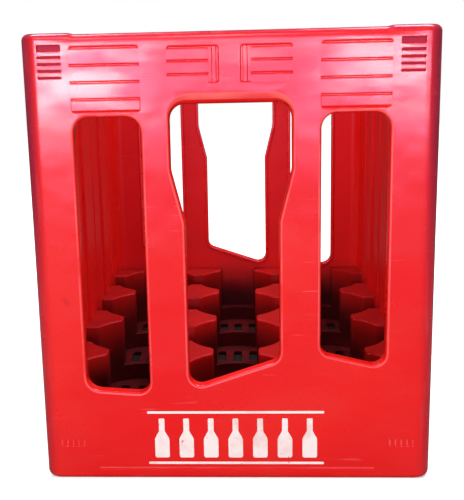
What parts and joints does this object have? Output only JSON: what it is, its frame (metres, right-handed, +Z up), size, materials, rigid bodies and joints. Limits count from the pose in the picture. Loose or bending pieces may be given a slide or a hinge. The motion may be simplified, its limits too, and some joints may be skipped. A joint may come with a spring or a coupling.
{
  "type": "empty plastic bottle crate",
  "caption": "Empty moulded plastic bottle crate with tall windows in both short walls, solid long walls, a deep rim and round cups with posts on the floor",
  "frame": {"origin": "centre of the underside, on the surface that the crate stands on", "axes": "+Z up; +Y along the long walls; +X along the short walls, which have the windows. The front short wall faces -Y"},
  "size_m": [0.3, 0.4, 0.343],
  "materials": {
    "crate_plastic": "red moulded polyethylene, satin gloss, lightly scuffed",
    "emblem_print": "thin off-white print on the lower wall"
  },
  "bodies": {
    "root": {"crate": "crate_plastic"}
  },
  "joints": []
}
